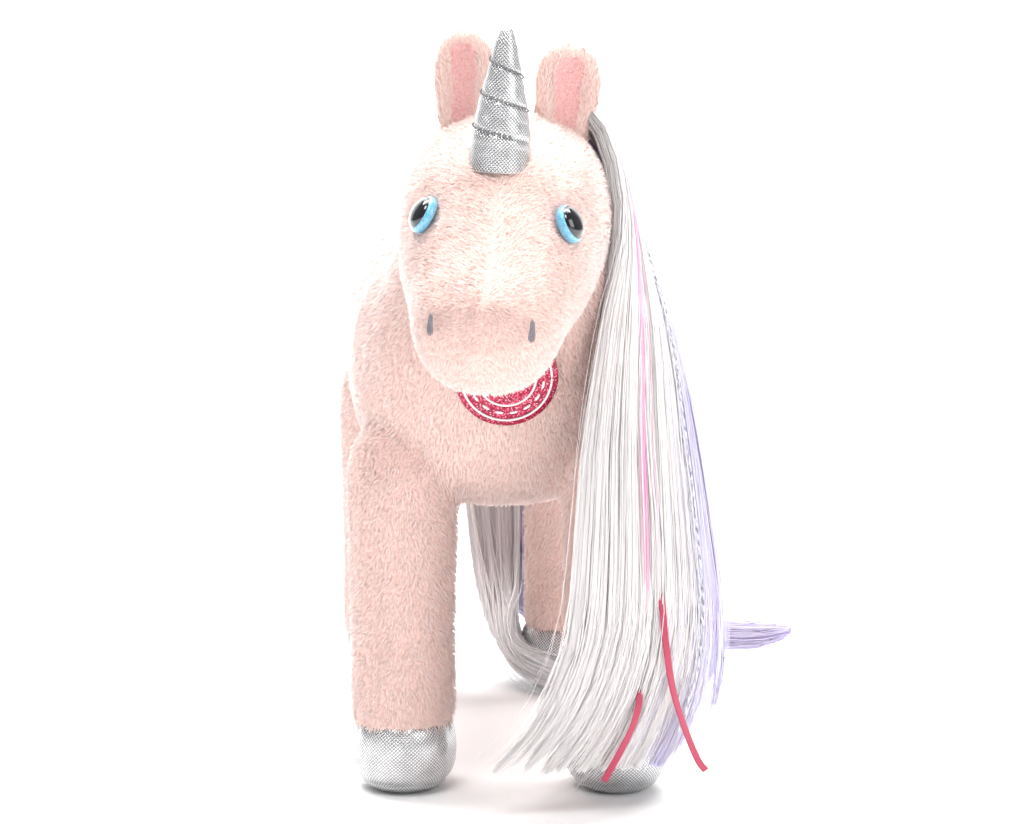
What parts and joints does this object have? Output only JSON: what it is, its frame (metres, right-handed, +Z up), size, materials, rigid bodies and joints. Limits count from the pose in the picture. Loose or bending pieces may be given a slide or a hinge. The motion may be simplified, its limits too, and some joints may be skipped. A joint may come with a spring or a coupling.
{
  "type": "plush unicorn",
  "caption": "Standing plush unicorn with foil hooves and spiral horn, side-swept long hair mane and tail, safety eyes and a round chest badge; head, ears, legs and hair flex.",
  "frame": {"origin": "centre of the footprint of the box round the whole toy, on the floor under its hooves", "axes": "+Z up, the unicorn faces -Y, +X is its left side, where the mane hangs"},
  "size_m": [0.1961, 0.2879, 0.2766],
  "materials": {
    "pink_plush": "short dense pile, soft matt",
    "ear_lining_plush": "short peach-pink pile",
    "silver_foil_cloth": "woven cloth printed with fine silver foil dots",
    "stitch_thread": "grey sewing and embroidery thread",
    "wadding": "loose polyester fibre filling",
    "white_hair": "long straight silky fibre",
    "lilac_hair": "long straight silky fibre",
    "pink_hair": "thin strands of silky fibre",
    "tinsel": "thin metallic film strands",
    "satin_ribbon": "narrow satin ribbon",
    "weft_tape": "sewn hair weft",
    "eye_lens": "clear high-gloss dome over a black pupil",
    "eye_paint": "sky-blue painted back",
    "washer_plastic": "moulded lock washer",
    "crimson_glitter": "crimson glitter cloth on felt",
    "white_embroidery": "satin stitch"
  },
  "bodies": {
    "body": {"body_stuffing": "wadding", "body_side_left": "pink_plush", "body_side_right": "pink_plush", "chest_and_belly_gusset": "pink_plush", "badge_disc": "crimson_glitter", "badge_outer_ring": "white_embroidery", "badge_inner_ring": "white_embroidery"},
    "head": {"head_stuffing": "wadding", "head_side_left": "pink_plush", "head_side_right": "pink_plush", "face_gusset": "pink_plush", "nostril_stitch_left": "stitch_thread", "nostril_stitch_right": "stitch_thread", "horn_cover": "silver_foil_cloth", "horn_stuffing": "wadding", "horn_stitching": "stitch_thread", "eye_dome_left": "eye_lens", "eye_back_left": "eye_paint", "eye_washer_left": "washer_plastic", "eye_dome_right": "eye_lens", "eye_back_right": "eye_paint", "eye_washer_right": "washer_plastic"},
    "mane": {"mane_weft": "weft_tape", "mane_white_front_lock": "white_hair", "mane_pink_strands": "pink_hair", "mane_white_middle_lock": "white_hair", "mane_lilac_lock": "lilac_hair", "mane_tinsel": "tinsel", "mane_lilac_back_lock": "lilac_hair", "mane_ribbon_long": "satin_ribbon", "mane_ribbon_short": "satin_ribbon"},
    "tail": {"tail_weft": "weft_tape", "tail_white_lock": "white_hair", "tail_lilac_lock": "lilac_hair", "tail_ribbon": "satin_ribbon"},
    "ear_left": {"ear_back_left": "pink_plush", "ear_lining_left": "ear_lining_plush"},
    "ear_right": {"ear_back_right": "pink_plush", "ear_lining_right": "ear_lining_plush"},
    "leg_front_right": {"leg_cover_front_right": "pink_plush", "leg_stuffing_front_right": "wadding", "hoof_front_right": "silver_foil_cloth"},
    "leg_front_left": {"leg_cover_front_left": "pink_plush", "leg_stuffing_front_left": "wadding", "hoof_front_left": "silver_foil_cloth"},
    "leg_rear_right": {"leg_cover_rear_right": "pink_plush", "leg_stuffing_rear_right": "wadding", "hoof_rear_right": "silver_foil_cloth"},
    "leg_rear_left": {"leg_cover_rear_left": "pink_plush", "leg_stuffing_rear_left": "wadding", "hoof_rear_left": "silver_foil_cloth"}
  },
  "joints": [
    {"name": "head_turn", "type": "hinge", "parent": "body", "child": "head", "pos_m": [-0.0388, -0.0555, 0.199], "axis": [0, 0, 1], "range_deg": [-10, 10], "stiffness_Nm_per_rad": 0.15},
    {"name": "mane_lift", "type": "hinge", "parent": "head", "child": "mane", "pos_m": [-0.0268, -0.0345, 0.249], "axis": [0, -1, 0], "range_deg": [0, 50]},
    {"name": "tail_lift", "type": "hinge", "parent": "body", "child": "tail", "pos_m": [-0.0388, 0.124, 0.175], "axis": [1, 0, 0], "range_deg": [0, 60]},
    {"name": "ear_flex_left", "type": "hinge", "parent": "head", "child": "ear_left", "pos_m": [-0.01823, -0.05999, 0.23886], "axis": [0.9844, -0.1665, -0.0576], "range_deg": [-14, 14], "stiffness_Nm_per_rad": 0.01},
    {"name": "ear_flex_right", "type": "hinge", "parent": "head", "child": "ear_right", "pos_m": [-0.05505, -0.05377, 0.24101], "axis": [0.9844, -0.1665, -0.0576], "range_deg": [-14, 14], "stiffness_Nm_per_rad": 0.01},
    {"name": "leg_flex_front_right", "type": "hinge", "parent": "body", "child": "leg_front_right", "pos_m": [-0.0766, -0.0525, 0.118], "axis": [1, 0, 0], "range_deg": [-4, 10], "stiffness_Nm_per_rad": 2},
    {"name": "leg_flex_front_left", "type": "hinge", "parent": "body", "child": "leg_front_left", "pos_m": [0.0012, -0.0595, 0.118], "axis": [1, 0, 0], "range_deg": [-4, 10], "stiffness_Nm_per_rad": 2},
    {"name": "leg_flex_rear_right", "type": "hinge", "parent": "body", "child": "leg_rear_right", "pos_m": [-0.0768, 0.0985, 0.122], "axis": [1, 0, 0], "range_deg": [-10, 4], "stiffness_Nm_per_rad": 2},
    {"name": "leg_flex_rear_left", "type": "hinge", "parent": "body", "child": "leg_rear_left", "pos_m": [-0.0008, 0.0985, 0.122], "axis": [1, 0, 0], "range_deg": [-10, 4], "stiffness_Nm_per_rad": 2}
  ]
}
